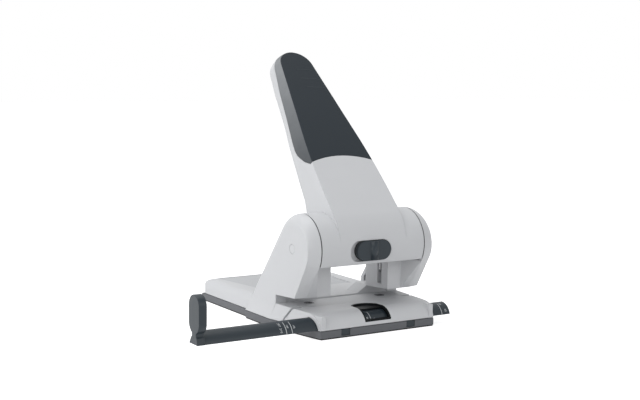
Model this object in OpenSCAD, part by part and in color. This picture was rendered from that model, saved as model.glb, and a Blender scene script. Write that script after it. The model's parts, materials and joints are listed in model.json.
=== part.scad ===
// Heavy two-hole lever punch, free standing, drawn with its lever up.
// +X runs to the right along the barrel, +Y to the rear, +Z up. The origin lies on the
// table under the rubber mat, midway between the two punch pins.

/* [Punching] */
// Distance between the centres of the two punched holes
hole_pitch = 80; // [78:0.5:90]
// Diameter of a punched hole
hole_d = 5.5; // [4.5:0.1:6]
// Distance from the hole centres back to the paper stop
paper_margin = 12; // [11:0.5:14]
// Running gap round a sliding pin and round the axle
running_gap = 0.05; // [0.02:0.01:0.09]
// Outer diameter of the steel sleeve that guides a pin
sleeve_d = 9; // [8:0.2:10]
// Top of the guide sleeves above the table
sleeve_top = 54; // [52:0.5:56]
// Diameter of the head of a pin
pin_head_d = 10.4; // [9:0.2:11]
// Thickness of the head of a pin
pin_head_h = 3; // [2:0.5:4]
// Diameter of a steel die insert
die_d = 10; // [9:0.5:14]
// Thickness of a steel die insert
die_h = 4; // [3:0.5:5]

/* [Base] */
// Distance from the hole line to the front edge
base_front = 57.3; // [54:0.5:62]
// Distance from the hole line to the rear edge
base_rear = 158; // [150:1:175]
// Half width of the foot at the front edge
front_half = 62.6; // [60:0.5:66]
// Half width of the foot at its widest place
side_half = 76; // [74:0.5:80]
// Half width of the top of the covers beside the throat
top_half = 69; // [68:0.5:71]
// Half width of the tail behind the side covers
tail_half = 72.5; // [71:0.5:74]
// Distance from the hole line back to the end of the side covers
step_y = 58; // [56:0.5:62]
// Height of the chip tray with its mat
tray_h = 7.8; // [7:0.1:9]
// Thickness of the rubber mat
mat_h = 1.2; // [0.8:0.1:2]
// Thickness of the floor of the chip tray
tray_floor = 1.8; // [1.2:0.1:2.4]
// Thickness of the walls of the chip tray
tray_wall = 2.4; // [2:0.1:3]
// Height of the paper table
table_h = 22; // [21:0.1:24]
// Height of the tail
tail_h = 23; // [22:0.1:26]
// Radius of the rounded front edge of the table
nose_r = 17; // [16:0.5:18]
// Radius of the top edges of the tail
tail_round = 11; // [8:0.5:13]
// Wall thickness of the plastic covers
cover_wall = 2.5; // [2:0.1:3]
// Thickness of the steel base plate
plate_h = 2; // [1.5:0.1:3]
// Parting gap between covers and between tray and covers
part_gap = 0.5; // [0.3:0.1:0.8]

/* [Side covers] */
// Width of the head of a side cover
cheek_w = 11.8; // [11:0.1:13]
// Distance from the middle to the inner face of a pin tower
tower_in = 32; // [30:0.5:34]
// Front end of the throat roof, forward of the hole line
roof_front = 24.5; // [23:0.5:26]
// Height of the front end of the throat roof
roof_front_h = 32.2; // [31:0.1:34]
// Height of the rear end of the throat roof
roof_rear_h = 30.2; // [29.5:0.1:32]
// Distance from the hole line back to the foot of a side cover
cheek_rear = 57; // [55:0.5:58]
// How far the outer face of a side cover is set in at its rear edge
cheek_round = 13; // [11:0.5:14]
// How far the outer face of a side cover is set in at its front edge
cheek_front = 4; // [2:0.5:5]
// Thickness of the steel side plates
side_plate = 3; // [2:0.5:4]

/* [Lever] */
// Height of the axle
pivot_h = 77.1; // [76:0.1:79]
// Distance from the hole line forward to the axle
pivot_front = 16.8; // [16:0.1:17.5]
// Diameter of the axle
axle_d = 8; // [7:0.2:9]
// Radius of the barrel
barrel_r = 31.65; // [31:0.05:32.5]
// Gap between an end of the barrel and the side cover
barrel_gap = 1; // [0.5:0.1:1.5]
// Wall thickness of the lever shell
shell_wall = 2.5; // [2:0.1:3]
// Angle of the handle from upright
lean = 44.1; // [42:0.1:46]
// Distance from the axle to the front face of the handle
handle_front = 35.1; // [34:0.1:37]
// Distance from the axle to the end of the handle
handle_end = 212; // [195:1:220]
// Half width of the handle at the barrel
handle_half = 36.5; // [34:0.5:39]
// Radius of the long curve along each side of the handle
handle_curve = 820; // [740:5:900]
// Angle by which each side of the handle has turned in where its curve ends
handle_turn = 7.4; // [6.7:0.1:8.1]
// Distance from the axle to the lower edge of the grip, on the middle line
grip_start = 77.6; // [70:0.5:90]
// Radius of the lower edge of the grip
grip_arc = 91; // [70:1:120]
// Thickness of the soft grip
grip_wall = 2.2; // [1.6:0.1:2.6]
// Angle that the lever turns through
lever_turn = 45; // [43:1:46]
// Distance from the axle to the middle of a cam nose
cam_arm = 18; // [17.5:0.1:18.5]
// Radius of a cam nose
cam_nose = 5; // [4:0.1:5.4]
// Angle of a cam above level with the lever up
cam_up = 20; // [18:0.5:22]

/* [Lock slider] */
// Length of the recess of the slider
recess_l = 44.6; // [42:0.2:48]
// Height of the recess of the slider
recess_h = 19.2; // [18:0.2:21]
// Middle of the recess, to the left of the middle of the barrel
recess_left = 3.7; // [0:0.1:5]
// Length of the knob
knob_l = 36.8; // [34:0.2:38]
// Gap between the knob and the end of its recess
knob_gap = 0.6; // [0.4:0.1:0.8]

/* [Paper ruler] */
// Reach of the ruler to the right of the middle
ruler_right = 85.5; // [80:0.5:95]
// Reach of the ruler to the left of the middle
ruler_left = 174.5; // [160:0.5:185]
// Thickness of the ruler
ruler_t = 1.8; // [1.4:0.1:2.2]
// Gap between the ruler and the skin of the table cover
ruler_gap = 1.1; // [0.8:0.1:1.4]
// Thickness of the paper stop at the end of the ruler
paddle_t = 7.5; // [6:0.5:9]
// Width of the paper stop
paddle_w = 19.6; // [16:0.2:22]
// Height of the top of the paper stop
paddle_top = 51; // [45:0.5:56]
// Left end of the sight window
window_left = 14; // [12:0.5:15]
// Right end of the sight window
window_right = 15; // [13:0.5:17]

/* [Hidden] */
$fn = 96;
light = [0.82, 0.83, 0.85];
dark = [0.22, 0.24, 0.27];
foot_grey = [0.36, 0.37, 0.39];
steel = [0.62, 0.63, 0.65];
panel_grey = [0.74, 0.75, 0.77];
black = [0.06, 0.06, 0.07];
// Cuts run this far past the solid they open
eps = 0.1;
// Larger than any part of the punch
far = 300;
hair = 0.1;
hole_x = hole_pitch / 2;
cheek_in = top_half - cheek_w;
barrel_half = cheek_in - barrel_gap;
axle_end = top_half - 0.4 * cheek_w;
cover_z = tray_h + part_gap;
plate_top = cover_z + plate_h;
plate_half = cheek_in + 4.5;
plate_front = -49;
plate_rear = base_rear - 12;
bar_end = hole_x + 0.7 * (cheek_in - hole_x);
bar_half = 10;
axis_y = -pivot_front;
pivot = [axis_y, pivot_h];
// Centre line of the rounded front edge, which the ruler shares
nose_y = nose_r - base_front;
nose_z = table_h - nose_r;
ruler_out = nose_r - cover_wall - ruler_gap;
ruler_in = ruler_out - ruler_t;
// The groove between the table cover and the side covers leans back as it goes down
groove_top = -15;
groove_run = 7;
groove_w = 4.2;
// Behind the table cover a lap, set in by this much, fills the floor of the groove
groove_deep = 1.2;
// A gap that is left round parts that slide past each other
slide_gap = 0.35;
saddle_r = barrel_r + slide_gap;
// The front of each tower goes on up into the barrel, which is open below
pillar_top = pivot_h - 16;
pillar_back = 5;
inner_r = barrel_r - shell_wall;
slot_front = -14.4;
slot_w = 6.7;
slot_deep = 12;
// A thin guard on the inner side of a tower rises behind the front lip of the barrel
guard_w = 2.3;
guard_rear = 4.2;
guard_top = 57.5;
// The barrel is open below between these angles from level
lip_front = 27.3;
lip_rear = 5;
hub_r = 8;
eye_r = 24;
cam_w = 8;
cam_hub_r = 10.5;
cam_gap = 0.4;
cam_pos = pivot + cam_arm * [cos(cam_up), sin(cam_up)];
pin_top = cam_pos.y - cam_nose - cam_gap;
pin_r = hole_d / 2;
pin_tip = roof_rear_h + 1;
pin_stroke = cam_arm * (sin(cam_up) + sin(lever_turn - cam_up));
wire_d = 0.9;
hinge_r = 1;
// The rear rim of the tray is rounded about the hinge with this radius
rim_r = 1.8;
hinge_y = base_rear - rim_r;
hinge_z = tray_h - rim_r;
ear_x = 51.5;
ear_w = 3;
ear_r = 1.6;
clip_x = 36;
clip_w = 9;
rod_half = 7;
recess_z = pivot_h - 1.9;
blend_r = 50.7;
blend_up = 10.9;
blend_end = 35;
knob_h = recess_h - 2 * knob_gap;
pan_margin = 1;
// The pan lies behind the inside of the barrel at its lower edge, the farthest from level
pan_low = pivot_h - recess_z + recess_h / 2 + pan_margin;
pan_y = axis_y - sqrt(inner_r * inner_r - pan_low * pan_low) + 0.1;
pan_t = 1.5;
ridge_r = 4.4;
// Thickness of the square stem that joins the knob to its bolt
stem = 5;
grip_seam = 0.15;
// The front face of the handle rises by this much from the axle to the end
front_rise = 1.8;
handle_face = -handle_front - front_rise;
// Radius of the round end of the handle, which both straight sides touch
tip_r = (handle_curve - (handle_curve - handle_half) * cos(handle_turn)
    - handle_end * sin(handle_turn)) / (1 - sin(handle_turn));
// The handle grows wider behind its front face: depth and extra half width
handle_flare = [[-2, -1], [4, 1.9], [9, 3.6], [15, 4.2], [60, 4.2]];
// Rear line of the handle: depth behind the front face and distance from the axle
handle_rear = [[17.4, handle_end + 6], [18.7, handle_end - 13], [21, handle_end - 38],
    [21.6, handle_end - 80], [26.4, grip_start + 8], [32.2, barrel_r + 18],
    [37.4, barrel_r + 6.8], [48.9, barrel_r - 4.6]];
// Border of the grip on the sides: depth behind the front face and distance from the axle
grip_side = [[-1, grip_start - 10], [4.1, grip_start - 6.4], [10.1, grip_start + 1],
    [13.8, grip_start + 8.2], [16.6, grip_start + 14], [17.6, grip_start + 20],
    [14.2, handle_end - 77], [12.5, handle_end - 45], [8.1, handle_end - 10],
    [6.5, handle_end + 6]];
knob_x = recess_l / 2 - recess_left - knob_gap - knob_l / 2;
front_screw = [50, -28];
rear_screw = [52, 140];
boss_r = 4;
// Sunk panel on the tail: wide at the rear, slim from its bend to its front
panel_rear_half = 60;
panel_half = 50;
panel_rear = base_rear - 9;
panel_bend = step_y + 30;
panel_front = step_y + 6;
panel_deep = 1.2;
panel_t = 0.7;
screw_r = 1.8;
screw_top = 18;
// Places of the grip screws up the handle
grip_screws = [60, 130];
window_top = 16.5;
// The rear edge of the sight window is an arch of this radius, seen from above
window_arch = 18;

// Side view extruded along X, from x0 to x1
module across(x0, x1) {
    translate([x0, 0, 0]) rotate([90, 0, 90]) linear_extrude(x1 - x0) children();
}

// Front view extruded along Y, from y0 to y1
module along(y0, y1) {
    translate([0, y1, 0]) rotate([90, 0, 0]) linear_extrude(y1 - y0) children();
}

// A round bar along X, from x0 to x1, at the side view point p
module bar_x(r, x0, x1, p) {
    translate([x0, p.x, p.y]) rotate([0, 90, 0]) cylinder(r = r, h = x1 - x0);
}

module mirrored(side) {
    if (side < 0) mirror([1, 0, 0]) children();
    else children();
}

// The lever's own frame: z runs up the handle, -y out of its front face
module lever_place() {
    translate([0, axis_y, pivot_h]) rotate([-lean, 0, 0]) children();
}

// The point where the line from p touches the circle of radius r round c, set in by a
// hair so that line and circle cross cleanly
function touch(p, c, r, side) = let(v = p - c, a = atan2(v.y, v.x) + side * acos(r / norm(v)))
    c + (r - hair) * [cos(a), sin(a)];

module foot_plan(inset = 0) {
    f = base_front - inset;
    r = base_rear - inset;
    polygon([[-front_half + inset, -f], [front_half - inset, -f],
        [side_half - inset, paper_margin], [side_half - inset, step_y - inset],
        [tail_half - inset, step_y - inset], [tail_half - inset, r], [-tail_half + inset, r],
        [-tail_half + inset, step_y - inset], [-side_half + inset, step_y - inset],
        [-side_half + inset, paper_margin]]);
}

// Thin slice of the table in plan, with the half width rear at the paper stop
module table_slice(rear, inset) {
    front = front_half - inset;
    linear_extrude(eps) polygon([[-front, -base_front], [front, -base_front],
        [rear - inset, paper_margin], [-rear + inset, paper_margin]]);
}

// The table narrows to the top beside the throat
module table_block(inset = 0) {
    hull() {
        translate([0, 0, cover_z - inset]) table_slice(side_half, inset);
        translate([0, 0, table_h - inset - eps]) table_slice(top_half, inset);
    }
}

// Side view of the front of the table, back to the line y = back
module nose_view(inset, back) {
    intersection() {
        union() {
            translate([nose_y, nose_z]) circle(nose_r - inset);
            translate([nose_y, -eps]) square([back - nose_y, table_h + eps - inset]);
            translate([nose_y - nose_r + inset, -eps]) square([nose_r - inset, nose_z + eps]);
        }
        translate([-far, -eps]) square([far + back, table_h + 2 * eps]);
    }
}

// Side view of everything in front of the leaning groove, moved back by shift
module before_groove(shift) {
    polygon([[-far, -eps], [groove_top + groove_run + shift, cover_z - eps],
        [groove_top + shift, table_h + eps], [-far, table_h + eps]]);
}

module base_plate() {
    color(steel) difference() {
        translate([-plate_half, plate_front, cover_z])
            cube([2 * plate_half, plate_rear - plate_front, plate_h]);
        for (s = [-1, 1]) {
            translate([s * hole_x, 0, cover_z - eps]) cylinder(r = pin_r + 2, h = plate_h + 2 * eps);
            translate([s * front_screw.x, front_screw.y, cover_z - eps])
                cylinder(r = screw_r, h = plate_h + 2 * eps);
            translate([s * rear_screw.x, rear_screw.y, cover_z - eps])
                cylinder(r = screw_r, h = plate_h + 2 * eps);
        }
    }
}

module die_bar() {
    color(steel) difference() {
        translate([-bar_end, -bar_half, plate_top])
            cube([2 * bar_end, 2 * bar_half, table_h - die_h - plate_top]);
        for (s = [-1, 1])
            translate([s * hole_x, 0, plate_top - eps]) cylinder(r = pin_r + 1, h = table_h);
    }
}

module die(side) {
    color(steel) translate([side * hole_x, 0, table_h - die_h]) difference() {
        cylinder(d = die_d, h = die_h);
        translate([0, 0, -eps]) cylinder(r = pin_r + running_gap, h = die_h + 2 * eps);
    }
}

module throat_plate() {
    x = cheek_in - part_gap;
    y0 = groove_top + groove_run + groove_w / 2;
    color(light) difference() {
        union() {
            intersection() {
                translate([-x, -far, table_h - cover_wall]) cube([2 * x, far + paper_margin, cover_wall]);
                // the front end all but touches the table cover
                across(-x, x) difference() {
                    square([2 * far, 2 * far], center = true);
                    before_groove(-groove_w / 2 + hair);
                }
            }
            for (s = [-1, 1])
                translate([s * (x - cover_wall / 2) - cover_wall / 2, y0, plate_top])
                    cube([cover_wall, paper_margin - y0, table_h - plate_top - cover_wall / 2]);
        }
        for (s = [-1, 1])
            translate([s * hole_x, 0, 0]) cylinder(d = die_d, h = far);
    }
}

// The sight window, seen from the front, with a margin m all round
module window_view(m) {
    low = cover_z + 3 - m;
    polygon([[-window_left - m, low], [window_right - 0.5 + m, low], [window_right + m, low + 1],
        [window_right + m, far], [-window_left - m, far]]);
}

// Cut for the sight window: open to the front and above, back to the line y = back
module window_cut(m, back) {
    intersection() {
        along(-far, back + m) window_view(m);
        translate([0, 0, cover_z]) linear_extrude(far) {
            translate([(window_right - window_left) / 2, back - window_arch])
                circle(window_arch + m, $fn = 96);
            translate([-far, -far]) square([2 * far, far + back - window_arch]);
        }
    }
}

module table_cover() {
    back = nose_y + window_top;
    color(light) difference() {
        union() {
            intersection() {
                table_block();
                across(-far, far) nose_view(0, far);
                across(-far, far) before_groove(-groove_w / 2);
            }
            for (s = [-1, 1]) intersection() {
                table_block(groove_deep);
                across(-far, far) before_groove(groove_w / 2 - part_gap);
                translate([s * (cheek_in + far / 2), nose_y, cover_z + far / 2])
                    cube([far, -2 * nose_y, far], center = true);
            }
        }
        difference() {
            intersection() {
                table_block(cover_wall);
                across(-far, far) nose_view(cover_wall, far);
            }
            for (s = [-1, 1])
                translate([s * front_screw.x, front_screw.y, plate_top])
                    cylinder(r = boss_r, h = table_h - plate_top);
        }
        window_cut(0, back);
        for (s = [-1, 1])
            translate([s * front_screw.x, front_screw.y, 0])
                cylinder(r = screw_r, h = table_h - cover_wall);
        across(-far, far) ruler_view(slide_gap);
    }
}

// Section of the ruler, a little more than a fifth of a ring, with a gap g round it
module ruler_view(g) {
    intersection() {
        translate([nose_y, nose_z]) difference() {
            circle(ruler_out + g);
            circle(ruler_in - g);
        }
        translate([nose_y - nose_r, cover_z - g]) square([nose_r + g, nose_r + g]);
    }
}

// Dark frame that lines the sight window
module window_frame() {
    back = nose_y + window_top;
    rim = 1.6;
    ruler_top = nose_z + ruler_out + slide_gap;
    floor = ruler_top + 1.2;
    color(black) difference() {
        intersection() {
            across(-far, far) difference() {
                nose_view(0.4, far);
                translate([nose_y, nose_z]) circle(ruler_out + slide_gap);
                translate([nose_y - eps, -eps]) square([far, ruler_top + eps]);
            }
            window_cut(0, back);
        }
        // a thin floor stays behind the ruler
        intersection() {
            window_cut(-rim, back);
            across(-far, far) polygon([[-far, 0], [nose_y, 0], [nose_y, floor], [far, floor],
                [far, far], [-far, far]]);
        }
    }
}

module ruler_guide(side) {
    x0 = side < 0 ? -bar_end : window_right + 6;
    x1 = side < 0 ? -window_left - 6 : bar_end;
    color(foot_grey) intersection() {
        bar_x(ruler_in - slide_gap, x0, x1, [nose_y, nose_z]);
        translate([-far, nose_y - nose_r, plate_top]) cube([2 * far, nose_r + 4, nose_r]);
    }
}

// Leaf spring that presses the ruler against the skin of the cover
module ruler_detent() {
    x0 = hole_x - 14;
    color(steel) across(x0, x0 + 10) intersection() {
        translate([nose_y, nose_z]) difference() {
            circle(nose_r - cover_wall);
            circle(ruler_out + 0.3);
        }
        translate([nose_y - nose_r * 0.75, nose_z + 4]) square([nose_r * 0.5, nose_r]);
    }
}

// Rounded body of the tail, made smaller all round by inset
module tail_block(inset, y0) {
    w = tail_half - inset;
    r = base_rear - inset;
    q = tail_round - inset;
    h = tail_h - inset;
    c = 9 - inset;
    intersection() {
        along(-far, far) union() {
            for (s = [-1, 1]) translate([s * (w - q), h - q]) circle(q);
            translate([-w + q, -eps]) square([2 * (w - q), h + eps]);
            translate([-w, -eps]) square([2 * w, h - q + eps]);
        }
        across(-far, far) union() {
            translate([r - q, h - q]) circle(q);
            translate([-far, -eps]) square([far + r - q, h + eps]);
            translate([-far, -eps]) square([far + r, h - q + eps]);
        }
        translate([0, 0, cover_z - inset]) linear_extrude(far) union() {
            for (s = [-1, 1]) translate([s * (w - c), r - c]) circle(c);
            translate([-w + c, y0]) square([2 * (w - c), r - y0]);
            translate([-w, y0]) square([2 * w, r - c - y0]);
        }
    }
}

module panel_plan(inset) {
    wide = panel_rear_half - inset;
    slim = panel_half - inset;
    polygon([[-wide, panel_rear - inset], [wide, panel_rear - inset], [slim, panel_bend],
        [slim, panel_front + inset], [-slim, panel_front + inset], [-slim, panel_bend]]);
}

module tail_cover() {
    x = cheek_in - part_gap;
    color(light) difference() {
        union() {
            difference() {
                union() {
                    tail_block(0, step_y + part_gap);
                    translate([-x, paper_margin + part_gap, cover_z])
                        cube([2 * x, step_y - paper_margin + part_gap, tail_h - cover_z]);
                    // shoulders that rise to the towers at the end of the throat
                    for (s = [-1, 1]) mirrored(s)
                        along(paper_margin + part_gap, paper_margin + 20) polygon([[20, table_h - 1],
                            [tower_in + 2, roof_rear_h], [x, roof_rear_h], [x, table_h - 1]]);
                }
                tail_block(cover_wall, step_y + part_gap + cover_wall);
                translate([-x + cover_wall, paper_margin + part_gap + cover_wall, -eps])
                    cube([2 * (x - cover_wall), step_y - paper_margin, tail_h - cover_wall + eps]);
            }
            for (s = [-1, 1]) {
                translate([s * rear_screw.x, rear_screw.y, plate_top])
                    cylinder(r = boss_r, h = tail_h - cover_wall - plate_top);
                bar_x(ear_r, s * ear_x - ear_w / 2, s * ear_x + ear_w / 2, [hinge_y, hinge_z]);
                translate([s * ear_x - ear_w / 2, hinge_y - ear_r, hinge_z])
                    cube([ear_w, 2 * ear_r, cover_z - hinge_z + 1]);
            }
        }
        translate([-far, 0, 0]) cube([2 * far, step_y + part_gap + cover_wall + eps, plate_top]);
        translate([0, 0, tail_h - panel_deep]) linear_extrude(far) panel_plan(0);
        for (s = [-1, 1]) {
            translate([s * rear_screw.x, rear_screw.y, 0])
                cylinder(r = screw_r, h = tail_h - panel_deep - cover_wall);
            bar_x(hinge_r, s * ear_x - ear_w, s * ear_x + ear_w, [hinge_y, hinge_z]);
        }
    }
}

module tail_panel() {
    color(panel_grey) translate([0, 0, tail_h - panel_deep]) linear_extrude(panel_t)
        panel_plan(part_gap);
}

// Side view of a cheek above the throat roof, set in by front at its front edge and by rear
// at its top and rear edges, or of the low part behind the throat
module cheek_view(front, rear, low) {
    r = barrel_r - (front + rear) / 2;
    c = pivot - (rear - front) / 2 * [cos(30), sin(30)];
    f = [-roof_front + 0.7 * front, roof_front_h];
    b = [cheek_rear - 0.6 * rear, roof_rear_h];
    foot = step_y - 0.25 * rear;
    if (low) polygon([[paper_margin, tail_h - 1], [foot, tail_h - 1], [foot, tail_h], b,
        b + [-1, 1], [paper_margin, roof_rear_h + 1]]);
    else {
        translate(c) circle(r, $fn = 72);
        polygon([f, touch(f, c, r, -1), c, touch(b, c, r, 1), b, [paper_margin, roof_rear_h]]);
    }
}

// Hollow of a side cover in side view, over and behind the throat
module cheek_pocket(i) {
    f = [-roof_front + 0.6 * i, roof_front_h + i];
    b = [cheek_rear - 1.2 * i, roof_rear_h];
    r = barrel_r - i;
    union() {
        translate(pivot) circle(r);
        polygon([f, touch(f, pivot, r, -1), pivot, touch(b, pivot, r, 1), b, [b.x, plate_top],
            [paper_margin + i, plate_top], [paper_margin + i, roof_rear_h + i]]);
    }
}

module side_cover(side) {
    skin = top_half - cover_wall;
    color(light) mirrored(side) difference() {
        union() {
            // head and leg over the throat, rounded to the outside, and the part behind it
            for (low = [false, true]) hull() for (k = [0:6]) {
                x = top_half - (cheek_w - eps) * (1 - sin(15 * k));
                across(x - eps, x)
                    cheek_view(cheek_front * sin(15 * k), cheek_round * (1 - cos(15 * k)), low);
            }
            // flared skirt behind the throat
            along(paper_margin, step_y) polygon([[cheek_in, cover_z], [side_half, cover_z],
                [top_half + 0.3, table_h], [top_half, tail_h], [cheek_in, tail_h]]);
            // low edge beside the throat
            difference() {
                intersection() {
                    table_block();
                    translate([cheek_in, -far, 0]) cube([far, far + paper_margin + eps, far]);
                }
                across(0, far) before_groove(groove_w / 2);
            }
        }
        // the hollow narrows outward under the rounded edges
        across(cheek_in - eps, cheek_in + 0.4 * cheek_w) cheek_pocket(1.6 * cover_wall);
        across(cheek_in, skin) cheek_pocket(3.2 * cover_wall);
        translate([cheek_in - eps, -far, -eps])
            cube([plate_half - cheek_in + 0.4, 2 * far, table_h - cover_wall + eps]);
        bar_x(4.5, 0, far, pivot);
    }
}

// A round eye for the axle on a leg that stands on the base plate, clear of its cover
module side_plate(side) {
    x = cheek_in + 1;
    foot = [paper_margin + 4, cheek_rear - 6.5];
    neck = roof_front_h + 4;
    color(steel) mirrored(side) difference() {
        across(x, x + side_plate) {
            translate(pivot) circle(eye_r);
            polygon([[-roof_front + 3, neck], pivot + [-21.7, -16.6], pivot + [2, -7], pivot + [19.8, 14.9],
                [foot[1], roof_rear_h], [foot[1], plate_top], [foot[0], plate_top], [foot[0], neck]]);
        }
        bar_x(axle_d / 2, 0, far, pivot);
    }
}

// What the turning barrel needs of the towers: its wall, and the room of cams and pins
module saddle_view() {
    low = lip_front + 6;
    translate(pivot) difference() {
        circle(saddle_r);
        polygon([[0, 0], [-far * cos(low), -far * sin(low)], [-far, -far], [pillar_back, -far],
            [pillar_back, 0]]);
    }
    translate([-far, pillar_top]) square([far + axis_y + pillar_back + eps, far]);
}

// Side view of the guard, which stays inside the sweep of the barrel's rear lip
module guard_view() {
    polygon([[-roof_front - eps, roof_front_h], [-roof_front - eps, pillar_top],
        [axis_y + pillar_back, pillar_top], [guard_rear, guard_top], [guard_rear, roof_front_h]]);
}

module tower(side) {
    front = [-roof_front, roof_front_h];
    high = touch(front, pivot, barrel_r, -1);
    back_top = pivot_h - 12;
    root = cheek_in - 10;
    color(light) mirrored(side) difference() {
        union() {
            across(tower_in, root) tower_view([-roof_front, pillar_top], back_top);
            hull() {
                across(root - eps, root) tower_view([-roof_front, pillar_top], back_top);
                across(cheek_in - eps, cheek_in) tower_view(high, back_top);
            }
        }
        difference() {
            across(0, far) saddle_view();
            across(0, tower_in + guard_w) guard_view();
        }
        translate([hole_x, 0, 0]) cylinder(d = sleeve_d, h = far);
        // slot in the inner face
        translate([tower_in - eps, slot_front, roof_front_h + 3.6]) cube([slot_deep, slot_w, far]);
    }
}

// Side view of a tower whose front edge ends at the point high
module tower_view(high, back_top) {
    polygon([[-roof_front, roof_front_h], high, [axis_y, pivot_h], [paper_margin, back_top],
        [paper_margin, roof_rear_h]]);
}

module sleeve(side) {
    z0 = roof_rear_h + 2;
    color(steel) translate([side * hole_x, 0, z0]) difference() {
        cylinder(d = sleeve_d, h = sleeve_top - z0);
        translate([0, 0, -eps]) cylinder(r = pin_r + running_gap, h = far);
    }
}

// A coil spring of round wire, as rings of eight points along a helix
module coil(r, wire, turns, h) {
    per_turn = 20;
    steps = per_turn * turns;
    sides = 8;
    pts = [for (i = [0:steps], k = [0:sides - 1]) let(a = 360 * i / per_turn, b = 360 * k / sides,
        q = r + wire / 2 * cos(b)) [q * cos(a), q * sin(a),
        wire / 2 + (h - wire) * i / steps + wire / 2 * sin(b)]];
    walls = [for (i = [0:steps - 1], k = [0:sides - 1]) [i * sides + k, i * sides + (k + 1) % sides,
        (i + 1) * sides + (k + 1) % sides, (i + 1) * sides + k]];
    ends = [[for (k = [sides - 1:-1:0]) k], [for (k = [0:sides - 1]) steps * sides + k]];
    polyhedron(pts, concat(walls, ends));
}

module pin_spring(side) {
    gap = 0.2;
    z1 = pin_top - pin_head_h;
    color(steel) translate([side * hole_x, 0, sleeve_top + gap])
        coil(pin_r + 0.5 + wire_d / 2, wire_d, 6, z1 - sleeve_top - 2 * gap);
}

module pin(side) {
    color(steel) translate([side * hole_x, 0, pin_tip])
        cylinder(r = pin_r, h = pin_top - pin_head_h - pin_tip);
}

module pin_head(side) {
    color(steel) translate([side * hole_x, 0, pin_top - pin_head_h])
        cylinder(d = pin_head_d, h = pin_head_h);
}

module axle() {
    color(steel) bar_x(axle_d / 2, -axle_end, axle_end, pivot);
}

module axle_cap(side) {
    color(light) mirrored(side) bar_x(4.4, axle_end, top_half, pivot);
}

module hinge_pin(side) {
    color(steel) bar_x(hinge_r, side * ear_x - rod_half, side * ear_x + rod_half, [hinge_y, hinge_z]);
}

module base_screw(at) {
    head_h = 2;
    color(steel) translate([at.x, at.y, 0]) {
        translate([0, 0, cover_z - head_h]) cylinder(r = 3.4, h = head_h);
        translate([0, 0, cover_z]) cylinder(r = screw_r, h = screw_top - cover_z);
    }
}

// Half of the handle's outline seen from the front, set in by inset: a long curve, a straight
// side and the round end, made wider by flare above the curve
function handle_side(inset, flare) = let(steps = 6) concat(
    [for (k = [-1:steps]) let(a = k * handle_turn / steps,
            q = handle_curve - inset + flare * max(0, k) / steps)
        [handle_half - handle_curve + q * cos(a), q * sin(a)]],
    [for (k = [0:steps * 2]) let(a = handle_turn + k * (90 - handle_turn) / steps / 2,
            q = tip_r - inset + flare)
        [q * cos(a), handle_end - tip_r + q * sin(a)]]);

module handle_outline(inset, flare) {
    side = handle_side(inset, flare);
    polygon(concat(side, [for (k = [len(side) - 2:-1:0]) [-side[k].x, side[k].y]]));
}

module handle_body(inset) {
    hull() for (p = handle_flare)
        translate([0, handle_face + p[0], 0]) rotate([90, 0, 0]) linear_extrude(eps)
            handle_outline(inset, p[1]);
}

// A side view in the lever's frame, extruded over the full width
module handle_across() {
    rotate([90, 0, 90]) linear_extrude(4 * handle_half, center = true) children();
}

// Outer form of the handle in the lever's frame, made smaller all round by inset
module handle_form(inset) {
    // the front face runs into the barrel along an arc that touches both
    blend = [blend_r - handle_front, blend_up];
    tangent = [-cos(blend_end), -sin(blend_end)] * far;
    intersection() {
        handle_across() {
            polygon(concat([[0, 0], [-20, 0], [-handle_front + inset, blend.y],
                [handle_face + inset, handle_end + 6]],
                [for (p = handle_rear) [handle_face + p[0], p[1]]],
                [[handle_face + handle_rear[len(handle_rear) - 1][0], 0]]));
            intersection() {
                translate(blend) circle(blend_r - inset, $fn = 180);
                polygon([[0, 0], tangent, [-far, blend.y], [0, blend.y]]);
            }
        }
        handle_body(inset);
    }
}

// Where the soft grip lies, in the lever's frame
module grip_zone(gap) {
    difference() {
        handle_across() polygon(concat([[-far, grip_start - 10]],
            [for (p = grip_side) [handle_face + p[0] - gap, p[1] + gap]],
            [[-far, handle_end + 6]]));
        translate([0, 0, grip_start - grip_arc]) rotate([90, 0, 0])
            cylinder(r = grip_arc + gap, h = far, center = true);
    }
}

module stadium(l, h) {
    for (s = [-1, 1]) translate([s * (l - h) / 2, 0]) circle(d = h);
    square([l - h, h], center = true);
}

module lever_shell() {
    open_front = [-far * cos(lip_front), -far * sin(lip_front)];
    open_rear = [far * cos(lip_rear), far * sin(lip_rear)];
    core = 2 * grip_wall;
    color(light) difference() {
        union() {
            bar_x(barrel_r, -barrel_half, barrel_half, pivot);
            lever_place() handle_form(0);
        }
        bar_x(inner_r, -barrel_half + shell_wall, barrel_half - shell_wall, pivot);
        lever_place() handle_hollow(core);
        lever_place() difference() {
            grip_zone(0);
            handle_form(grip_wall);
        }
        across(-far, far) translate(pivot)
            polygon([[0, 0], open_front, [-far, -far], [far, -far], open_rear]);
        bar_x(hub_r, -far, far, pivot);
        translate([-recess_left, 0, recess_z]) along(-far, axis_y) stadium(recess_l, recess_h);
    }
}

// Space inside the handle, open to the rear
module handle_hollow(inset) {
    intersection() {
        handle_body(inset);
        handle_across() polygon([[-handle_front + inset, 0], [handle_face + inset, handle_end],
            [far, handle_end], [far, inner_r - 2], [0, inner_r - 2], [0, 0]]);
    }
}

module grip_pad() {
    color(dark) lever_place() difference() {
        intersection() {
            handle_form(0);
            grip_zone(grip_seam);
        }
        handle_form(grip_wall);
    }
}

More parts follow.
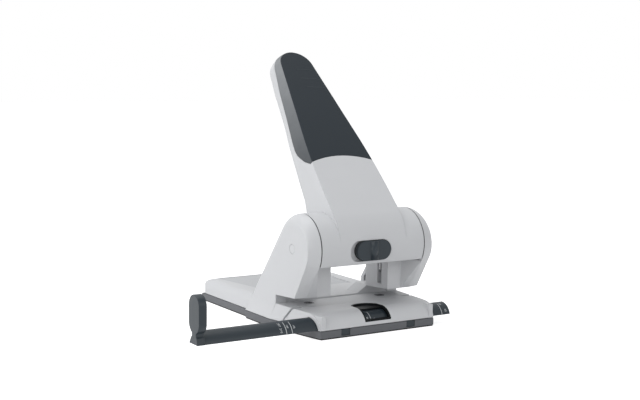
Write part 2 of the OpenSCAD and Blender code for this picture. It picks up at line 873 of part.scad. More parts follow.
module lever_core() {
    half = barrel_half - 0.5;
    y0 = -handle_front + 2 * grip_wall + 0.3;
    w = 13;
    color(steel) difference() {
        union() {
            bar_x(hub_r, -half, half, pivot);
            lever_place() {
                translate([-w, y0, 0]) cube([2 * w, 3, handle_end - 45]);
                translate([-w, -inner_r + 1, -4]) cube([2 * w, inner_r - 1, 8]);
            }
        }
        bar_x(axle_d / 2 + running_gap, -far, far, pivot);
    }
}

module cam(side) {
    color(steel) translate([side * hole_x - cam_w / 2, axis_y, pivot_h]) rotate([cam_up, 0, 0])
        rotate([90, 0, 90]) linear_extrude(cam_w) difference() {
            union() {
                circle(cam_hub_r);
                translate([0, -2.6]) square([cam_arm, 5.2]);
                translate([cam_arm, 0]) circle(cam_nose);
            }
            circle(hub_r);
        }
}

module slider_pan() {
    travel = recess_l - knob_l - 2 * knob_gap;
    color(light) translate([-recess_left, 0, recess_z]) difference() {
        along(pan_y, pan_y + pan_t) stadium(recess_l + 4, recess_h + 2 * pan_margin);
        along(-far, far) translate([knob_x + recess_left - travel / 2, 0])
            square([stem + travel + 2, stem + 1], center = true);
    }
}

module lock_knob() {
    face = axis_y - barrel_r - 0.6;
    color(dark) translate([knob_x, 0, recess_z]) {
        along(face, pan_y - 0.3) stadium(knob_l, knob_h);
        intersection() {
            along(face - ridge_r, face + 1) stadium(knob_l - 1, knob_h - 1);
            translate([0, face + 1.4, 0]) cylinder(r = ridge_r, h = knob_h, center = true);
        }
    }
}

module lock_bolt() {
    color(steel) translate([knob_x, 0, recess_z]) {
        translate([-stem / 2, pan_y - 0.3, -stem / 2]) cube([stem, pan_t + 5, stem]);
        translate([-stem / 2, pan_y + pan_t + 0.3, -4.5]) cube([stem, 1.5, 9]);
        translate([0, pan_y + pan_t + 4, 0]) rotate([0, 90, 0]) cylinder(r = 2, h = 24, center = true);
    }
}

module grip_screw(s) {
    y0 = -handle_front + 2 * grip_wall + 3.3;
    color(steel) lever_place() translate([0, y0, s]) rotate([-90, 0, 0]) difference() {
        cylinder(r = 4, h = 2.4);
        translate([0, 0, 1.2]) cylinder(r = 2, h = 2, $fn = 6);
    }
}

module ruler_bar() {
    color(dark) across(-ruler_left, ruler_right) ruler_view(0);
}

module ruler_paddle() {
    y = nose_y - ruler_out + paddle_w / 2 - 3;
    low = cover_z + 9;
    oval_h = paddle_top - low;
    color(dark) translate([-ruler_left - paddle_t, 0, 0]) {
        translate([0, y, low + oval_h / 2]) rotate([0, 90, 0]) linear_extrude(paddle_t)
            stadium(oval_h, paddle_w);
        translate([0, y - 4, cover_z + 4]) cube([paddle_t, 8, 8]);
        across(0, paddle_t) polygon([[nose_y - ruler_out, cover_z], [nose_y + 2.5, cover_z],
            [nose_y - 1, cover_z + 6], [y, cover_z + 10], [nose_y - ruler_out + 1.5, cover_z + 6]]);
    }
}

module chip_tray() {
    color(foot_grey) difference() {
        translate([0, 0, mat_h]) linear_extrude(tray_h - mat_h) foot_plan(0);
        translate([0, 0, mat_h + tray_floor]) linear_extrude(far) intersection() {
            foot_plan(tray_wall);
            translate([-far, -far]) square([2 * far, far + base_rear - 2 * rim_r]);
        }
        // the rear rim is rounded about the hinge
        difference() {
            translate([-far, hinge_y, hinge_z]) cube([2 * far, far, far]);
            bar_x(rim_r, -far, far, [hinge_y, hinge_z]);
        }
        for (s = [-1, 1]) {
            translate([s * ear_x - ear_w / 2 - slide_gap, hinge_y - rim_r - slide_gap,
                hinge_z - rim_r - slide_gap]) cube([ear_w + 2 * slide_gap, 8, 8]);
            bar_x(hinge_r + running_gap, s * ear_x - rod_half - slide_gap,
                s * ear_x + rod_half + slide_gap, [hinge_y, hinge_z]);
            clip_block(s, part_gap / 2);
        }
    }
}

// Notch for a clip in the front wall of the tray
module clip_block(side, gap) {
    w = clip_w + 2 * gap;
    translate([side * clip_x - w / 2, -base_front - eps, mat_h + 1 - gap])
        cube([w, tray_wall - 1 + eps + gap, tray_h - mat_h - 1 + 2 * gap]);
}

module clip(side) {
    color(dark) translate([side * clip_x - clip_w / 2, -base_front + 0.2, mat_h + 1])
        cube([clip_w, tray_wall - 1 + eps / 2, tray_h - mat_h - 1]);
}

module rubber_mat() {
    color(black) linear_extrude(mat_h) foot_plan(0.4);
}

base_plate();
die_bar();
die(-1);  // left_die
die(1);  // right_die
throat_plate();
table_cover();
tail_cover();
tail_panel();
side_cover(-1);  // left_side_cover
side_cover(1);  // right_side_cover
side_plate(-1);  // left_side_plate
side_plate(1);  // right_side_plate
tower(-1);  // left_tower
tower(1);  // right_tower
sleeve(-1);  // left_sleeve
sleeve(1);  // right_sleeve
pin_spring(-1);  // left_spring
pin_spring(1);  // right_spring
axle();
axle_cap(-1);  // left_axle_cap
axle_cap(1);  // right_axle_cap
window_frame();
ruler_guide(-1);  // left_ruler_guide
ruler_guide(1);  // right_ruler_guide
ruler_detent();
hinge_pin(-1);  // left_hinge_pin
hinge_pin(1);  // right_hinge_pin
base_screw([-front_screw.x, front_screw.y]);  // front_left_screw
base_screw(front_screw);  // front_right_screw
base_screw([-rear_screw.x, rear_screw.y]);  // rear_left_screw
base_screw(rear_screw);  // rear_right_screw
lever_shell();
lever_core();
grip_pad();
cam(-1);  // left_cam
cam(1);  // right_cam
slider_pan();
grip_screw(grip_screws[0]);  // lower_grip_screw
grip_screw(grip_screws[1]);  // upper_grip_screw
lock_knob();
lock_bolt();
pin(-1);  // left_pin
pin_head(-1);  // left_pin_head
pin(1);  // right_pin
pin_head(1);  // right_pin_head
ruler_bar();
ruler_paddle();
chip_tray();
rubber_mat();
clip(-1);  // left_clip
clip(1);  // right_clip
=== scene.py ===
# %% [markdown]
# # A heavy two-hole lever punch
# This lesson dresses a finished construction in Blender. The frame is the punch as it was
# drawn: every piece already has its true size and place, in metres, with the
# table at z = 0 and the two punch pins on the line y = 0. We add the camera, the light,
# the finishes and the small details that a drawing leaves out. Working from the drawing,
# instead of modelling by eye, keeps every piece where it really fits and moves.

# %% Load the frame
import json
import math

import bmesh
import bpy
from mathutils import Matrix, Vector
from mathutils.bvhtree import BVHTree

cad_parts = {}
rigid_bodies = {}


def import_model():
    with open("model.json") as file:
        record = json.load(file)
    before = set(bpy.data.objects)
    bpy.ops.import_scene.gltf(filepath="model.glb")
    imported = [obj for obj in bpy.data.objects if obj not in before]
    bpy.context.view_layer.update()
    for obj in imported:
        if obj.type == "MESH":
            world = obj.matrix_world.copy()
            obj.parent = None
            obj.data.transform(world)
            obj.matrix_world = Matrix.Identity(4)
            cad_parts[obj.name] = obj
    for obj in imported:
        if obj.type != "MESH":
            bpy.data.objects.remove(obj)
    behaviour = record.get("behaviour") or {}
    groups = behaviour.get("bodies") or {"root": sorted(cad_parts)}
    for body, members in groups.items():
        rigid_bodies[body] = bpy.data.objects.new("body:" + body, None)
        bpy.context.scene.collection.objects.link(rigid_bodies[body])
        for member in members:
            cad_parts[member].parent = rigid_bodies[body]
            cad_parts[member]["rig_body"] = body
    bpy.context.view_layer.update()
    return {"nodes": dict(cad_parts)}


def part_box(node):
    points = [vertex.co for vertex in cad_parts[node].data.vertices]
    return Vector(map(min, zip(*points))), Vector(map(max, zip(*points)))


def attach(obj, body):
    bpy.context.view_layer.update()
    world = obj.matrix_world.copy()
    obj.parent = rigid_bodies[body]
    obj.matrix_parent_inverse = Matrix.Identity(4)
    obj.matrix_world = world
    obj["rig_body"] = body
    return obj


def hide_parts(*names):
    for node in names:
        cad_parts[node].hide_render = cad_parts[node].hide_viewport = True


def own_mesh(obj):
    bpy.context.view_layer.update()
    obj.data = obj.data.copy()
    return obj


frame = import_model()
mm = 0.001

# %% [markdown]
# ## The camera
# A long lens stands to the front left of the punch and a little above its middle, as a
# catalogue photographer would place it, so both the front and the left side show. A camera
# could be set by eye, but here its place and lens come from fitting known edges of the
# punch to a picture. We state them as a point to look at, three angles and a distance, and
# build the camera's axes from those. The lens is tipped by less than one degree.

# %% Place the camera
look_at = Vector((-29.18, 0, 117.97)) * mm
camera_turn, camera_height, camera_tip = (math.radians(a) for a in (32.18, 6.51, 0.705))
camera_distance = 1096.3 * mm

back = Vector((-math.sin(camera_turn) * math.cos(camera_height),
               -math.cos(camera_turn) * math.cos(camera_height), math.sin(camera_height)))
level = (-back).cross(Vector((0, 0, 1))).normalized()
tip = Matrix.Rotation(camera_tip, 3, back)
right = tip @ level
up = back.cross(right)

camera = bpy.data.objects.new("camera", bpy.data.cameras.new("camera"))
camera.data.sensor_width, camera.data.lens = 36, 66.3
camera.data.clip_start, camera.data.clip_end = 0.05, 20
camera.matrix_world = Matrix.Translation(look_at + back * camera_distance) @ Matrix(
    (right, up, back)).transposed().to_4x4()
bpy.context.scene.collection.objects.link(camera)
bpy.context.scene.camera = camera
print("camera at", [round(v, 3) for v in camera.location])

# %% [markdown]
# ## The light
# Pale plastic shows its form through broad, soft light with slow falls from one face to the
# next. One sun would draw hard shadows, so we use soft boxes, which are lamps with a large
# face. A big one on the left and a narrow one at the left rear give the side its brightness,
# one overhead lights the tail and the top of the barrel, and a weak one in front lifts the
# shade. The sky fills what is left. The camera and mirror-like faces see the sky as plain
# white, which a Light Path node tells apart from the light that it sheds.

# %% Tell direct sight apart from light
scene = bpy.context.scene
scene.view_settings.view_transform = "Standard"


def seen_directly(tree):
    """A value of 1 for rays from the camera, from a gloss or through glass, else 0."""
    path = tree.nodes.new("ShaderNodeLightPath")
    total = path.outputs["Is Camera Ray"]
    for name in ("Is Glossy Ray", "Is Transmission Ray"):
        largest = tree.nodes.new("ShaderNodeMath")
        largest.operation = "MAXIMUM"
        tree.links.new(total, largest.inputs[0])
        tree.links.new(path.outputs[name], largest.inputs[1])
        total = largest.outputs[0]
    return total


print("view transform:", scene.view_settings.view_transform)

# %% Sky
sky_strength, seen_strength = 0.46, 1.0
sky = bpy.data.worlds.new("studio_sky")
sky.use_nodes = True
scene.world = sky
sky_tree = sky.node_tree
sky_tree.nodes.clear()
sky_light = sky_tree.nodes.new("ShaderNodeBackground")
sky_light.inputs["Color"].default_value = (0.97, 0.98, 1.0, 1)
sky_light.inputs["Strength"].default_value = sky_strength
sky_white = sky_tree.nodes.new("ShaderNodeBackground")
sky_white.inputs["Color"].default_value = (1, 1, 1, 1)
sky_white.inputs["Strength"].default_value = seen_strength
sky_mix = sky_tree.nodes.new("ShaderNodeMixShader")
sky_out = sky_tree.nodes.new("ShaderNodeOutputWorld")
sky_tree.links.new(seen_directly(sky_tree), sky_mix.inputs[0])
sky_tree.links.new(sky_light.outputs[0], sky_mix.inputs[1])
sky_tree.links.new(sky_white.outputs[0], sky_mix.inputs[2])
sky_tree.links.new(sky_mix.outputs[0], sky_out.inputs[0])
print("sky lights at", sky_strength, "and is seen at", seen_strength)


# %% Soft boxes
def soft_box(name, place, target, width, height, power):
    """A lamp with a face of width by height, turned from its place to its target."""
    lamp = bpy.data.lights.new(name, "AREA")
    lamp.shape, lamp.size, lamp.size_y, lamp.energy = "RECTANGLE", width, height, power
    box = bpy.data.objects.new(name, lamp)
    box.location = place
    box.rotation_euler = (Vector(target) - Vector(place)).to_track_quat("-Z", "Y").to_euler()
    scene.collection.objects.link(box)


soft_box("left_soft_box", (-1.1, -0.25, 0.55), (0, 0, 0.12), 0.9, 0.9, 4.6)
soft_box("left_rear_strip", (-1.05, 0.5, 0.25), (0, 0.1, 0.2), 0.25, 0.8, 2.6)
soft_box("top_soft_box", (-0.1, 0.25, 1.2), (0, 0.05, 0.1), 0.9, 0.9, 5.5)
soft_box("front_fill", (0.35, -1.3, 0.55), (0, 0, 0.12), 0.8, 0.8, 2.6)
print("soft boxes: left, left rear, top and front")

# %% [markdown]
# ## The floor
# The punch stands on a plain pale sheet. More light would bring the sheet to white, but it
# would also wash out the punch. So the sheet glows a little, and only towards the camera
# and mirror-like faces, and the soft shadow at the foot of the punch stays.

# %% Floor
reach, sheet_tone, sheet_glow = 6.0, 0.8, 0.70
floor_mesh = bpy.data.meshes.new("floor")
floor_mesh.from_pydata([(-reach, -reach, 0), (reach, -reach, 0), (reach, reach, 0),
                        (-reach, reach, 0)], [], [(0, 1, 2, 3)])
floor = bpy.data.objects.new("floor", floor_mesh)
scene.collection.objects.link(floor)
paper = bpy.data.materials.new("white_sheet")
paper.use_nodes = True
paper_tree = paper.node_tree
paper_look = paper_tree.nodes["Principled BSDF"]
paper_look.inputs["Base Color"].default_value = (sheet_tone, sheet_tone, sheet_tone, 1)
paper_look.inputs["Roughness"].default_value = 0.9
paper_look.inputs["Specular IOR Level"].default_value = 0
paper_look.inputs["Emission Color"].default_value = (1, 1, 1, 1)
glow = paper_tree.nodes.new("ShaderNodeMath")
glow.operation = "MULTIPLY"
glow.inputs[1].default_value = sheet_glow
paper_tree.links.new(seen_directly(paper_tree), glow.inputs[0])
paper_tree.links.new(glow.outputs[0], paper_look.inputs["Emission Strength"])
floor_mesh.materials.append(paper)
print("floor", 2 * reach, "m wide")

# %% [markdown]
# ## Two shared effects
# Moulded plastic is never perfectly even. Its skin has a fine spark-eroded grain, its colour
# drifts by a few hundredths, and every corner has a small radius that catches the light.
# These could be built anew in every material. Instead each effect is a node group, made
# once and placed in each finish with values of its own.


# %% Helper to make a node group
def effect_group(name, inputs, outputs):
    """A node group with named sockets, and its input and output nodes."""
    group = bpy.data.node_groups.new(name, "ShaderNodeTree")
    for label, kind, value in inputs:
        group.interface.new_socket(label, in_out="INPUT", socket_type=kind).default_value = value
    for label, kind in outputs:
        group.interface.new_socket(label, in_out="OUTPUT", socket_type=kind)
    return group, group.nodes.new("NodeGroupInput"), group.nodes.new("NodeGroupOutput")


print("helper:", effect_group.__name__)


# %% Helpers for noise and sums
def noise(tree, vector, scale, detail, rough):
    """A noise over the surface, with a fixed or a linked scale."""
    node = tree.nodes.new("ShaderNodeTexNoise")
    node.inputs["Detail"].default_value = detail
    node.inputs["Roughness"].default_value = rough
    tree.links.new(vector, node.inputs["Vector"])
    if isinstance(scale, (int, float)):
        node.inputs["Scale"].default_value = scale
    else:
        tree.links.new(scale, node.inputs["Scale"])
    return node.outputs["Fac"]


def sums(tree, operation, a, b=None, c=None):
    """One math node. Each value is a number or comes from another node."""
    node = tree.nodes.new("ShaderNodeMath")
    node.operation = operation
    for socket, value in zip(node.inputs, (a, b, c)):
        if isinstance(value, (int, float)):
            socket.default_value = value
        elif value is not None:
            tree.links.new(value, socket)
    return node.outputs[0]


def mixed(tree, factor, first, second):
    """One colour that goes from first to second as the factor goes from 0 to 1."""
    node = tree.nodes.new("ShaderNodeMix")
    node.data_type = "RGBA"
    tree.links.new(factor, node.inputs["Factor"])
    tree.links.new(first, node.inputs["A"])
    if isinstance(second, tuple):
        node.inputs["B"].default_value = second
    else:
        tree.links.new(second, node.inputs["B"])
    return node.outputs["Result"]


print("helpers:", noise.__name__, sums.__name__, mixed.__name__)

# %% [markdown]
# ### Grain and drift
# A mould's spark-eroded skin looks like fine even pebbles. A picture of such a skin would
# do, but it needs unwrapping and it repeats. Two noises at different scales, one for the
# pebbles and one for the slow drift of tone, have neither fault.

# %% Grain group
number, tint, pale_grey = "NodeSocketFloat", "NodeSocketColor", (0.6, 0.6, 0.6, 1)
grain, grain_in, grain_out = effect_group(
    "mould_grain",
    [("Scale", number, 1800.0), ("Colour", tint, pale_grey), ("Drift", number, 0.04),
     ("Gloss", number, 0.4)],
    [("Colour", tint), ("Roughness", number), ("Height", number)])
grain_place = grain.nodes.new("ShaderNodeTexCoord").outputs["Object"]
pebbles = noise(grain, grain_place, grain_in.outputs["Scale"], detail=2.0, rough=0.5)
slow = noise(grain, grain_place, scale=26.0, detail=3.0, rough=0.6)
around_zero = sums(grain, "SUBTRACT", slow, 0.5)
tone = sums(grain, "MULTIPLY_ADD", around_zero, grain_in.outputs["Drift"], 1.0)
tinted = grain.nodes.new("ShaderNodeVectorMath")
tinted.operation = "SCALE"
grain.links.new(grain_in.outputs["Colour"], tinted.inputs[0])
grain.links.new(tone, tinted.inputs["Scale"])
grain.links.new(tinted.outputs[0], grain_out.inputs["Colour"])
gloss_drift = sums(grain, "MULTIPLY_ADD", around_zero, 0.12, grain_in.outputs["Gloss"])
grain.links.new(gloss_drift, grain_out.inputs["Roughness"])
grain.links.new(pebbles, grain_out.inputs["Height"])
print("group", grain.name)

# %% [markdown]
# ### Broken edges
# No tool leaves a knife edge. Cutting a radius into every corner of the mesh is costly
# where corners crowd, so the Bevel node helps: it turns the shading normal near a corner as
# if it had a radius. Where the turned normal departs from the true one we also get a mask,
# broken up by noise, that rubs the edge a little lighter.

# %% Edge group
paler_grey, mask_gain = (0.7, 0.7, 0.7, 1), 6.0
edges, edges_in, edges_out = effect_group(
    "broken_edge",
    [("Radius", number, 0.6 * mm), ("Colour", tint, pale_grey), ("Worn colour", tint, paler_grey),
     ("Wear", number, 0.3)],
    [("Colour", tint), ("Normal", "NodeSocketVector")])
rounded = edges.nodes.new("ShaderNodeBevel")
rounded.samples = 6
edges.links.new(edges_in.outputs["Radius"], rounded.inputs["Radius"])
true_normal = edges.nodes.new("ShaderNodeNewGeometry").outputs["Normal"]
agree = edges.nodes.new("ShaderNodeVectorMath")
agree.operation = "DOT_PRODUCT"
edges.links.new(rounded.outputs[0], agree.inputs[0])
edges.links.new(true_normal, agree.inputs[1])
turned = sums(edges, "SUBTRACT", 1.0, agree.outputs["Value"])
edge_place = edges.nodes.new("ShaderNodeTexCoord").outputs["Object"]
patchy = noise(edges, edge_place, scale=160.0, detail=3.0, rough=0.7)
turned = sums(edges, "MULTIPLY", sums(edges, "MULTIPLY", turned, mask_gain), patchy)
turned_limit = edges.nodes.new("ShaderNodeClamp")
edges.links.new(turned, turned_limit.inputs["Value"])
worn = sums(edges, "MULTIPLY", turned_limit.outputs[0], edges_in.outputs["Wear"])
rubbed = mixed(edges, worn, edges_in.outputs["Colour"], edges_in.outputs["Worn colour"])
edges.links.new(rubbed, edges_out.inputs["Colour"])
edges.links.new(rounded.outputs[0], edges_out.inputs["Normal"])
print("group", edges.name)

# %% [markdown]
# ## Moulded finishes
# All the plastic pieces are moulded and share one recipe, with their own colour, gloss and
# grain. The covers are a satin pale grey and the tail's panel a little darker. The ruler, its
# stop and the knob are a dark blue grey, and only the lining of the sight window is nearly
# black. The grip and the mat are rubber, with a coarser skin. Every finish could be wired by
# hand, but one recipe keeps them alike, and its lines below say only how each differs.


# %% Helpers to place a group and a bump
def place_group(tree, group, values):
    """A group as a node of one finish, with values of its own."""
    node = tree.nodes.new("ShaderNodeGroup")
    node.node_tree = group
    for label, value in values.items():
        node.inputs[label].default_value = value
    return node


def skin(tree, look, height, normal, strength, depth):
    """A shallow bump, laid over the normal that the broken edges give."""
    bump = tree.nodes.new("ShaderNodeBump")
    bump.inputs["Strength"].default_value = strength
    bump.inputs["Distance"].default_value = depth
    tree.links.new(height, bump.inputs["Height"])
    tree.links.new(normal, bump.inputs["Normal"])
    tree.links.new(bump.outputs[0], look.inputs["Normal"])


print("helpers:", place_group.__name__, skin.__name__)

# %% Recipe for moulded finishes
moulded_wear, pebble_height = 0.35, 0.2 * mm


def moulded(name, colour, gloss, depth, radius, scale=1700.0, drift=0.04, worn=1.12, specular=0.5):
    """Plastic or rubber with grain, a drift of tone and rubbed edges. The radius is in mm."""
    finish = bpy.data.materials.new(name)
    finish.use_nodes = True
    tree = finish.node_tree
    look = tree.nodes["Principled BSDF"]
    look.inputs["Specular IOR Level"].default_value = specular
    grained = place_group(tree, grain, {
        "Scale": scale, "Colour": (*colour, 1), "Drift": drift, "Gloss": gloss})
    broken = place_group(tree, edges, {
        "Radius": radius * mm, "Wear": moulded_wear,
        "Worn colour": (*[min(1, c * worn + 0.01) for c in colour], 1)})
    tree.links.new(grained.outputs["Colour"], broken.inputs["Colour"])
    tree.links.new(broken.outputs["Colour"], look.inputs["Base Color"])
    tree.links.new(grained.outputs["Roughness"], look.inputs["Roughness"])
    skin(tree, look, grained.outputs["Height"], broken.outputs["Normal"], depth, pebble_height)
    return finish


print("wear of moulded edges:", moulded_wear)

# %% Moulded finishes of the punch
light_plastic = moulded("light_plastic", (0.60, 0.608, 0.622), 0.42, depth=0.10, radius=0.9)
panel_plastic = moulded("panel_plastic", (0.52, 0.53, 0.545), 0.5, depth=0.16, radius=0.5)
dark_plastic = moulded("dark_plastic", (0.017, 0.026, 0.034), 0.36, depth=0.08, radius=0.7,
                       worn=2.0, specular=0.35)
black_plastic = moulded("black_plastic", (0.003, 0.004, 0.005), 0.45, depth=0.05, radius=0.6,
                        worn=2.5, specular=0.12)
tray_plastic = moulded("tray_plastic", (0.10, 0.105, 0.115), 0.5, depth=0.14, radius=0.5)
soft_grip = moulded("soft_grip", (0.013, 0.020, 0.027), 0.42, depth=0.3, radius=1.4,
                    scale=1100.0, drift=0.12, worn=1.6, specular=0.22)
mat_rubber = moulded("mat_rubber", (0.004, 0.004, 0.005), 0.75, depth=0.5, radius=0.3,
                     scale=900.0, drift=0.2, worn=1.5, specular=0.3)
grip_line = moulded("grip_line", (0.026, 0.034, 0.041), 0.5, depth=0.2, radius=0.3,
                    scale=1100.0, drift=0.1, worn=1.4, specular=0.22)
mark_paint = moulded("mark_paint", (0.62, 0.64, 0.65), 0.6, depth=0.1, radius=0.1, drift=0.25)
print("moulded finishes: 9")

# %% [markdown]
# ### Painted sheen on the flanks of the grip
# The sides of the grip look paler towards its tip, as rubber does where hands polish it or
# where a light beside it gives a gloss. A lamp beside it didn't give the look, so the gloss is
# a painted sheen in the rubber's colour. Which of the two it is can't be told, and a lamp
# beside it didn't give the look, so the pale tone is a likeness in the rubber's colour. A
# painted mask would need unwrapping. Instead the shader finds the flanks by the object's own
# normal and fades the painted sheen by height, so it stays in place from whichever side it is
# seen.


# %% Helpers for one axis and for a ramp
def one_axis(tree, vector, axis):
    """The X, Y or Z of a vector."""
    split = tree.nodes.new("ShaderNodeSeparateXYZ")
    tree.links.new(vector, split.inputs[0])
    return split.outputs[axis]


def ramp(tree, value, low, high, at_low=0.0, at_high=1.0):
    """A value that goes from at_low to at_high as another goes from low to high."""
    node = tree.nodes.new("ShaderNodeMapRange")
    for label, amount in (("From Min", low), ("From Max", high), ("To Min", at_low),
                          ("To Max", at_high)):
        node.inputs[label].default_value = amount
    tree.links.new(value, node.inputs["Value"])
    return node.outputs[0]


print("helpers:", one_axis.__name__, ramp.__name__)

# %% Paint a sheen on the flanks
flank_from, flank_to = 0.45, 0.85
sheen_low, sheen_high, sheen_at_low = 0.15, 0.25, 0.22
# The pale tone of a painted sheen: a highlight put into the rubber's colour
painted_sheen_tone = (0.27, 0.28, 0.29, 1)
grip_tree = soft_grip.node_tree
grip_look = grip_tree.nodes["Principled BSDF"]
grip_place = grip_tree.nodes.new("ShaderNodeTexCoord")
sideways = sums(grip_tree, "ABSOLUTE", one_axis(grip_tree, grip_place.outputs["Normal"], "X"))
flank = ramp(grip_tree, sideways, flank_from, flank_to)
height = one_axis(grip_tree, grip_place.outputs["Object"], "Z")
up_lever = ramp(grip_tree, height, sheen_low, sheen_high, sheen_at_low, 1.0)
sheen_patches = noise(grip_tree, grip_place.outputs["Object"], scale=60.0, detail=3.0, rough=0.6)
sheen_patches = sums(grip_tree, "MULTIPLY_ADD", sheen_patches, 0.3, 0.85)
# Painted sheen, strongest on the flanks and high up the lever, broken up by patches
painted_sheen = sums(grip_tree, "MULTIPLY", sums(grip_tree, "MULTIPLY", flank, up_lever), sheen_patches)
plain_rubber = grip_look.inputs["Base Color"].links[0].from_socket
rubber_with_sheen = mixed(grip_tree, painted_sheen, plain_rubber, painted_sheen_tone)
grip_tree.links.new(rubber_with_sheen, grip_look.inputs["Base Color"])
# The heights where the painted sheen is full and where it fades
print("flanks rubbed fully from", sheen_high, "m above the table, less down to", sheen_low)

# %% [markdown]
# ## Steel
# The plates, pins and springs are ground or drawn steel, which leaves fine parallel lines.
# Anisotropic gloss could stand for the lines, but then none would show up close. So a noise
# is drawn out 50 times from left to right on the plates, and 20 times upwards on the pins,
# before it drives the gloss and a shallow bump. On the hardened dies it stays even.

# %% Recipe for steel
steel_radius, steel_wear, worn_steel = 0.3 * mm, 0.6, (0.85, 0.85, 0.86, 1)
line_gloss, line_strength, line_depth = 0.22, 0.12, 0.05 * mm


def ground_steel(name, colour, gloss, stretch):
    """Steel with ground lines. A stretch below 1 draws them out along that axis."""
    finish = bpy.data.materials.new(name)
    finish.use_nodes = True
    tree = finish.node_tree
    look = tree.nodes["Principled BSDF"]
    look.inputs["Metallic"].default_value = 1
    spread = tree.nodes.new("ShaderNodeMapping")
    spread.inputs["Scale"].default_value = stretch
    tree.links.new(tree.nodes.new("ShaderNodeTexCoord").outputs["Object"], spread.inputs["Vector"])
    lines = noise(tree, spread.outputs[0], scale=900.0, detail=2.0, rough=0.6)
    lined_gloss = sums(tree, "MULTIPLY_ADD", lines, line_gloss, gloss - line_gloss / 2)
    tree.links.new(lined_gloss, look.inputs["Roughness"])
    broken = place_group(tree, edges, {
        "Radius": steel_radius, "Colour": (*colour, 1), "Worn colour": worn_steel,
        "Wear": steel_wear})
    tree.links.new(broken.outputs["Colour"], look.inputs["Base Color"])
    skin(tree, look, lines, broken.outputs["Normal"], line_strength, line_depth)
    return finish


plate_steel = ground_steel("plate_steel", (0.56, 0.56, 0.57), 0.38, (0.02, 1, 1))
die_steel = ground_steel("die_steel", (0.16, 0.16, 0.17), 0.45, (1, 1, 1))
pin_steel = ground_steel("pin_steel", (0.66, 0.66, 0.67), 0.22, (1, 1, 0.05))
print("steel finishes: 3")

# %% [markdown]
# ## Dress the drawn pieces
# The drawn pieces already have the right form, but their curves are straight facets and their
# corners are sharp. Subdivision would round both, and the form would be lost. So every piece
# is copied, its facets are shaded as the smooth curves that they stand for, and its corners
# get a real, small radius. The copy stands for the drawn piece and rides on the same body.

# %% Which finish each piece gets
body_of = {name: node["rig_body"] for name, node in frame["nodes"].items()}
finish_of = {}
for finish, names in (
    (light_plastic, "throat_plate table_cover tail_cover left_side_cover right_side_cover "
                    "left_tower right_tower left_axle_cap right_axle_cap lever_shell slider_pan"),
    (panel_plastic, "tail_panel"),
    (dark_plastic, "ruler_bar ruler_paddle lock_knob left_clip right_clip"),
    (black_plastic, "window_frame"),
    (tray_plastic, "chip_tray left_ruler_guide right_ruler_guide"),
    (soft_grip, "grip_pad"),
    (mat_rubber, "rubber_mat"),
    (plate_steel, "base_plate die_bar left_side_plate right_side_plate lever_core "
                  "left_cam right_cam ruler_detent lower_grip_screw upper_grip_screw"),
    (die_steel, "left_die right_die"),
    (pin_steel, "left_sleeve right_sleeve left_spring right_spring axle "
                "left_hinge_pin right_hinge_pin front_left_screw front_right_screw "
                "rear_left_screw rear_right_screw lock_bolt "
                "left_pin left_pin_head right_pin right_pin_head"),
):
    for name in names.split():
        finish_of[name] = finish
print("finishes set for", len(finish_of), "of", len(frame["nodes"]), "pieces")

# %% Copy a drawn piece and break its edges
merge_gap, flat_within = 0.02 * mm, math.radians(0.8)
corner_radius, corner_steps, sharp_from = 0.4 * mm, 2, math.radians(30)
flat_face_weight = 80
# The knob's ridge is made of small flat faces, which smooth shading would smear
flat_shaded = {"lock_knob"}
# Thin coils and the knob's small faces leave no room for a radius
unrounded = {"left_spring", "right_spring", "lock_knob"}


def smooth_copy(name):
    """A copy of the drawn piece with smooth curves and a small radius on its corners."""
    mesh = frame["nodes"][name].data.copy()
    mesh.materials.clear()
    mesh.materials.append(finish_of[name])
    form = bmesh.new()
    form.from_mesh(mesh)
    bmesh.ops.remove_doubles(form, verts=form.verts, dist=merge_gap)
    bmesh.ops.dissolve_limit(form, angle_limit=flat_within, verts=form.verts, edges=form.edges)
    for face in form.faces:
        face.smooth = name not in flat_shaded
        face.material_index = 0
    form.to_mesh(mesh)
    form.free()
    piece = bpy.data.objects.new(name + "_moulding", mesh)
    scene.collection.objects.link(piece)
    if name not in unrounded:
        corner = piece.modifiers.new("corner", "BEVEL")
        corner.width, corner.segments = corner_radius, corner_steps
        corner.limit_method, corner.angle_limit = "ANGLE", sharp_from
        corner.use_clamp_overlap = True
    even = piece.modifiers.new("even", "WEIGHTED_NORMAL")
    even.keep_sharp = False
    even.weight = flat_face_weight
    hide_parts(name)
    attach(piece, body_of[name])
    return piece


mouldings = {name: smooth_copy(name) for name in finish_of}
print("mouldings:", len(mouldings))

# %% [markdown]
# ## The springs
# The two return springs stand on their sleeves and are pressed short by the pin heads. A
# shape key could shorten them, but it wouldn't follow the pins by itself. Here each spring's
# copy only gets a mesh of its own, and keeps its drawn length.

# %% Give each spring a mesh of its own
for side in ("left", "right"):
    low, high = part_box(side + "_spring")
    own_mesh(mouldings[side + "_spring"])

# %% [markdown]
# ## Painted shade in the gaps at the ends of the barrel
# A crisp dark line parts the barrel from each side cover. The bare gap gives too light a
# line, because soft light reaches into it. So thin black felt all but fills it, which is our
# guess: the real punch may have only the gap. So a thin black arc all but fills it, as
# painted shade: the real punch shows only the gap, dark with shade. A ring cut from a disc
# would cross the lever's opening, so each arc is built row by row round the axle. It turns
# with the lever.


# %% Helper to make a piece of a form
def as_piece(name, form, finish):
    """The faces of a form as one piece with one finish."""
    mesh = bpy.data.meshes.new(name)
    form.to_mesh(mesh)
    form.free()
    mesh.materials.append(finish)
    piece = bpy.data.objects.new(name, mesh)
    scene.collection.objects.link(piece)
    return piece


print("helper:", as_piece.__name__)
